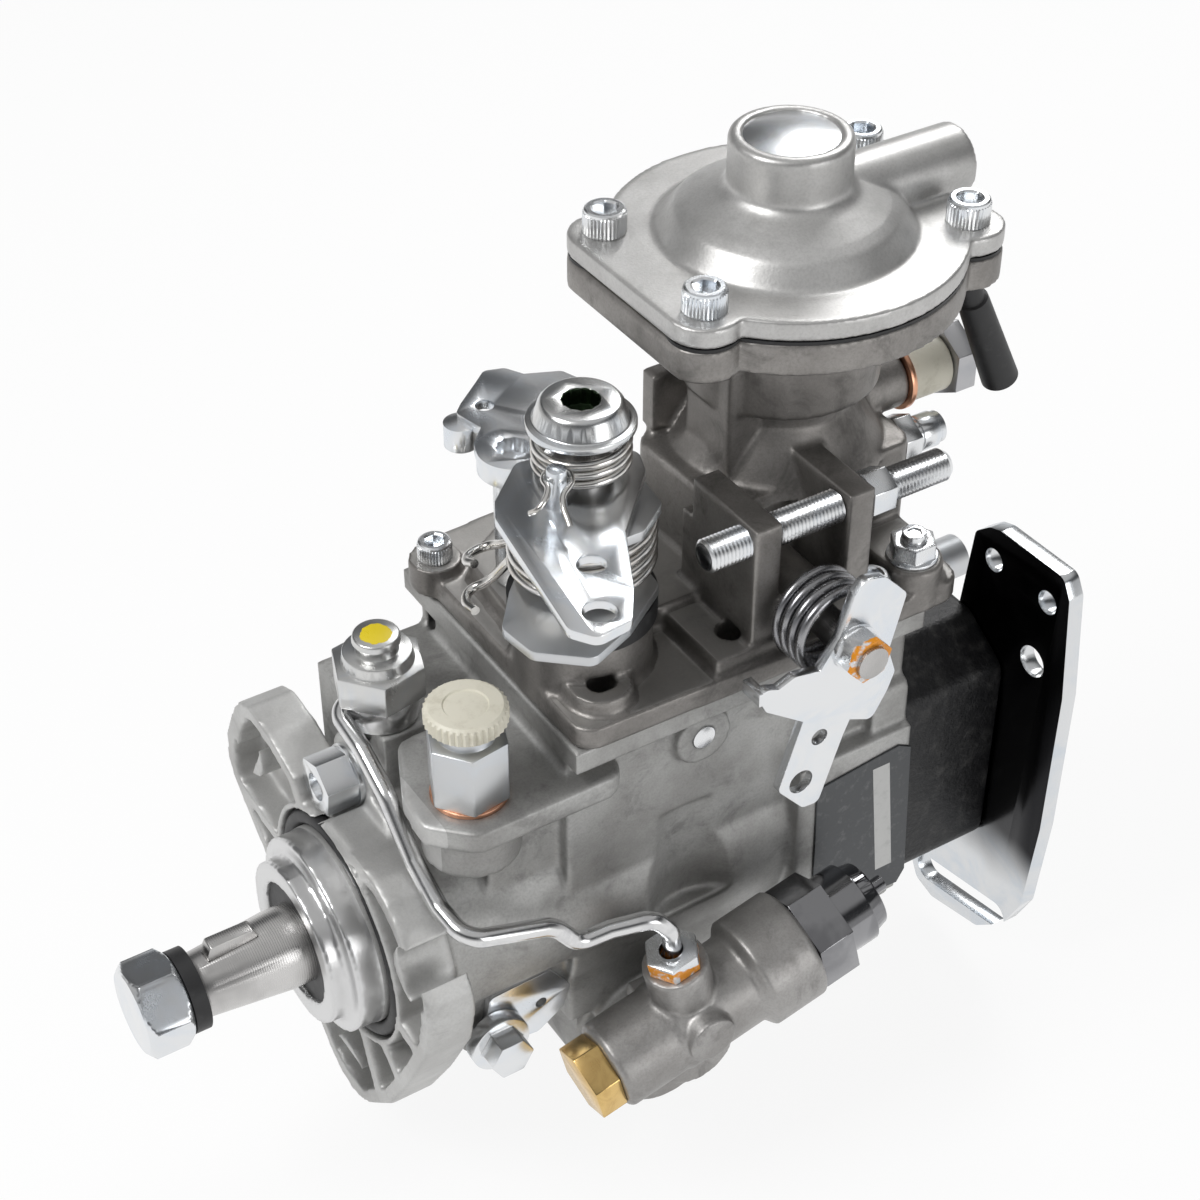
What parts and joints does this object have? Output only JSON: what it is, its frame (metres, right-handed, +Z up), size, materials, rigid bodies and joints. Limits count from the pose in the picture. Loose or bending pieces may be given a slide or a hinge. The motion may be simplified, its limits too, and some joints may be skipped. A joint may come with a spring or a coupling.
{
  "type": "diesel injection pump",
  "caption": "Axial-piston distributor injection pump with flange, drive shaft, governor cover with levers, round boost unit, side timing unit, inlet, pipe and rear bracket.",
  "frame": {"origin": "centre of the mounting flange's front face, on the drive shaft's axis", "axes": "+X along the shaft towards the rear, the drive end points to -X, -Y is the side with the inlet and the cold-start unit, +Z is up"},
  "size_m": [0.2538, 0.1276, 0.2438],
  "materials": {
    "cast_light": "sandblasted casting",
    "cast_dark": "rough casting",
    "steel": "machined",
    "zinc": "zinc plated",
    "copper": "copper",
    "brass": "turned",
    "chrome": "dark and bright",
    "black_iron": "black, rough",
    "black_paint": "gloss black",
    "rubber": "matt",
    "white_plastic": "satin"
  },
  "bodies": {
    "housing": {"pump_housing": "cast_light", "pilot_o_ring": "rubber", "shaft_seal": "rubber", "vane_pump_ring": "steel", "governor_shaft": "steel", "distributor_head": "black_iron", "delivery_valve_holders": "zinc", "cap_screws": "zinc", "bracket_screws": "zinc", "support_bracket": "black_paint", "governor_cover": "cast_dark", "boost_cover": "cast_light", "boost_diaphragm": "rubber", "throttle_dust_ring": "rubber", "stop_spring": "steel", "adjusting_screws": "zinc", "hex_nuts": "zinc", "inlet_fitting": "zinc", "transport_caps": "white_plastic", "copper_washers": "copper", "return_fitting": "zinc", "pressure_valve": "zinc", "screw_plugs": "zinc", "vent_tube": "rubber", "cold_start_body": "cast_dark", "cold_start_plug": "brass", "cold_start_solenoid": "chrome", "pressure_pipe": "steel", "timing_cover": "cast_light", "lock_plate": "zinc", "lock_bolt": "zinc", "plunger_springs": "steel", "boost_spring": "steel"},
    "shaft": {"drive_shaft": "steel", "shaft_key": "steel", "shaft_nut": "zinc", "shaft_spring_washer": "rubber", "vane_rotor": "steel", "pump_vanes": "steel", "drive_gear": "steel"},
    "cam": {"cam_plate": "steel", "plunger": "steel"},
    "governor": {"flyweight_cage": "steel", "flyweights": "steel"},
    "sleeve": {"governor_sleeve": "steel"},
    "levers": {"governor_levers": "steel"},
    "spill_sleeve": {"control_sleeve": "steel"},
    "roller_ring": {"roller_ring": "steel", "cam_rollers": "steel"},
    "timing_piston": {"timing_piston": "steel"},
    "throttle": {"throttle_shaft": "steel", "throttle_lever": "zinc", "throttle_cap": "zinc", "throttle_stop_plates": "zinc", "throttle_springs": "steel"},
    "idle": {"idle_lever": "zinc"},
    "stop": {"stop_shaft": "steel", "stop_lever": "zinc", "stop_lever_nut": "zinc"},
    "boost": {"boost_pin": "steel"}
  },
  "joints": [
    {"name": "shaft_turn", "type": "hinge", "parent": "housing", "child": "shaft", "pos_m": [0, 0, 0], "axis": [1, 0, 0], "continuous": true},
    {"name": "plunger_stroke", "type": "slide", "parent": "shaft", "child": "cam", "axis": [1, 0, 0], "range_m": [0, 0.0022], "stiffness_N_per_m": 4000, "springref_m": -0.002},
    {"name": "governor_turn", "type": "hinge", "parent": "housing", "child": "governor", "pos_m": [0, 0.008, 0.0453], "axis": [1, 0, 0], "continuous": true},
    {"name": "governor_levers_tilt", "type": "hinge", "parent": "housing", "child": "levers", "pos_m": [0.098, 0, 0.024], "axis": [0, 1, 0], "range_deg": [0, 8], "stiffness_Nm_per_rad": 0.6, "springref_deg": -2.86},
    {"name": "governor_sleeve_slide", "type": "slide", "parent": "housing", "child": "sleeve", "axis": [1, 0, 0], "range_m": [0, 0.0032]},
    {"name": "control_sleeve_slide", "type": "slide", "parent": "housing", "child": "spill_sleeve", "axis": [1, 0, 0], "range_m": [-0.0018, 0]},
    {"name": "timing_turn", "type": "hinge", "parent": "housing", "child": "roller_ring", "pos_m": [0, 0, 0], "axis": [1, 0, 0], "range_deg": [0, 7], "stiffness_Nm_per_rad": 6, "springref_deg": -2.86},
    {"name": "timing_piston_slide", "type": "slide", "parent": "housing", "child": "timing_piston", "axis": [0, 1, 0], "range_m": [0, 0.0055]},
    {"name": "throttle_turn", "type": "hinge", "parent": "housing", "child": "throttle", "pos_m": [0.0598, -0.0171, 0.1], "axis": [0, 0, 1], "range_deg": [0, 45], "stiffness_Nm_per_rad": 0.8, "springref_deg": -20.05},
    {"name": "idle_lever_turn", "type": "hinge", "parent": "housing", "child": "idle", "pos_m": [0.0577, 0.0082, 0.1], "axis": [0, 0, 1], "range_deg": [-20, 20]},
    {"name": "stop_lever_turn", "type": "hinge", "parent": "housing", "child": "stop", "pos_m": [0.1047, 0, 0.082], "axis": [0, 1, 0], "range_deg": [0, 35], "stiffness_Nm_per_rad": 0.5, "springref_deg": -20.05},
    {"name": "boost_pin_slide", "type": "slide", "parent": "housing", "child": "boost", "axis": [0, 0, -1], "range_m": [0, 0.005], "stiffness_N_per_m": 3000, "springref_m": -0.002, "deforming": ["boost_spring"]}
  ],
  "couplings": [
    {"joint": "governor_turn", "follows": "shaft_turn", "ratio": -1.5556},
    {"joint": "governor_sleeve_slide", "follows": "governor_levers_tilt", "m_per_rad": 0.0213},
    {"joint": "control_sleeve_slide", "follows": "governor_levers_tilt", "m_per_rad": -0.012},
    {"joint": "timing_piston_slide", "follows": "timing_turn", "m_per_rad": 0.043}
  ]
}
